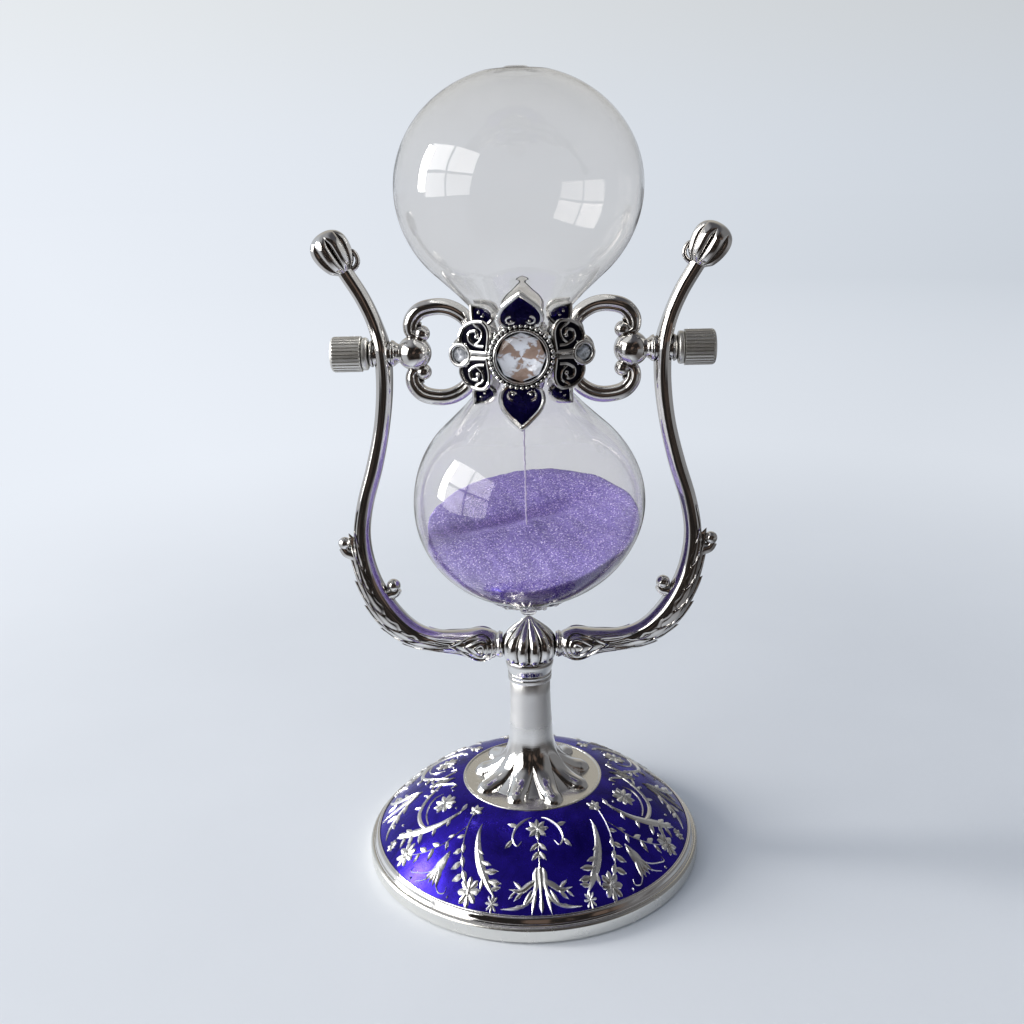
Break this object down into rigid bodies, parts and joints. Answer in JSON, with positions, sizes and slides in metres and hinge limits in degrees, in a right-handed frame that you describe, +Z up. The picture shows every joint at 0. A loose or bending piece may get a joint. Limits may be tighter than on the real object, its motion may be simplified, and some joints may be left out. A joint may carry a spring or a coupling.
{
  "type": "hourglass",
  "caption": "Ornamental hourglass: blown glass with lilac sand hung by a jewelled collar in a lyre-shaped silver yoke that lets it turn over, on a stem and round enamelled base.",
  "frame": {"origin": "centre of the base on the surface it stands on, which is also under the middle of the whole object", "axes": "+Z up along the stem, +X to the right along the axis the glass turns on, -Y to the front, where the face with the larger view of the enamel pattern is"},
  "size_m": [0.1004, 0.09, 0.2013],
  "materials": {
    "bright_silver": "bright nickel or silver plate over a zinc casting, polished",
    "satin_silver": "satin silver plate",
    "plain_steel": "plain turned steel",
    "ballast_iron": "rough casting, painted",
    "cobalt_enamel": "glossy translucent enamel over a raised silver flower pattern",
    "dark_enamel": "glossy dark blue enamel in cells",
    "clear_stone": "cut clear crystal",
    "clear_glass": "thin blown glass, sealed",
    "lilac_sand": "fine dyed sand",
    "grey_felt": "felt",
    "clear_rubber": "soft sleeve"
  },
  "bodies": {
    "stand": {"felt_pad": "grey_felt", "base_rim": "satin_silver", "base_weight": "ballast_iron", "base_dome": "cobalt_enamel", "foot_disc": "satin_silver", "stem": "satin_silver", "stem_ferrule": "bright_silver", "hub_bud": "bright_silver", "tie_rod": "plain_steel", "tie_nut": "plain_steel", "tie_washer": "plain_steel", "left_arm": "bright_silver", "right_arm": "bright_silver", "left_bushing": "plain_steel", "right_bushing": "plain_steel", "left_finial": "bright_silver", "right_finial": "bright_silver"},
    "hourglass": {"upper_bulb": "clear_glass", "lower_bulb": "clear_glass", "sand": "lilac_sand", "sand_stream": "lilac_sand", "neck_liner": "clear_rubber", "front_collar": "bright_silver", "back_collar": "bright_silver", "front_medallion": "bright_silver", "back_medallion": "bright_silver", "front_enamel": "dark_enamel", "back_enamel": "dark_enamel", "front_bezel": "bright_silver", "back_bezel": "bright_silver", "front_gem": "clear_stone", "back_gem": "clear_stone", "side_bezels": "bright_silver", "side_gems": "clear_stone", "collar_rivets": "plain_steel", "left_bracket": "bright_silver", "right_bracket": "bright_silver", "left_stud": "plain_steel", "right_stud": "plain_steel", "left_spacer": "bright_silver", "right_spacer": "bright_silver"},
    "left_washer": {"left_washer": "bright_silver"},
    "right_washer": {"right_washer": "bright_silver"},
    "left_knob": {"left_knob": "bright_silver"},
    "right_knob": {"right_knob": "bright_silver"}
  },
  "joints": [
    {"name": "hourglass_turn", "type": "hinge", "parent": "stand", "child": "hourglass", "pos_m": [0, 0, 0.1365], "axis": [1, 0, 0], "continuous": true},
    {"name": "left_washer_slide", "type": "slide", "parent": "hourglass", "child": "left_washer", "axis": [-1, 0, 0], "range_m": [0, 0.001]},
    {"name": "left_knob_turn", "type": "hinge", "parent": "left_washer", "child": "left_knob", "pos_m": [-0.0375, 0, 0.1365], "axis": [-1, 0, 0], "range_deg": [0, 720]},
    {"name": "right_washer_slide", "type": "slide", "parent": "hourglass", "child": "right_washer", "axis": [1, 0, 0], "range_m": [0, 0.001]},
    {"name": "right_knob_turn", "type": "hinge", "parent": "right_washer", "child": "right_knob", "pos_m": [0.0375, 0, 0.1365], "axis": [1, 0, 0], "range_deg": [0, 720]}
  ],
  "couplings": [
    {"joint": "left_knob_turn", "follows": "left_washer_slide", "rad_per_m": 12566},
    {"joint": "right_knob_turn", "follows": "right_washer_slide", "rad_per_m": 12566}
  ]
}
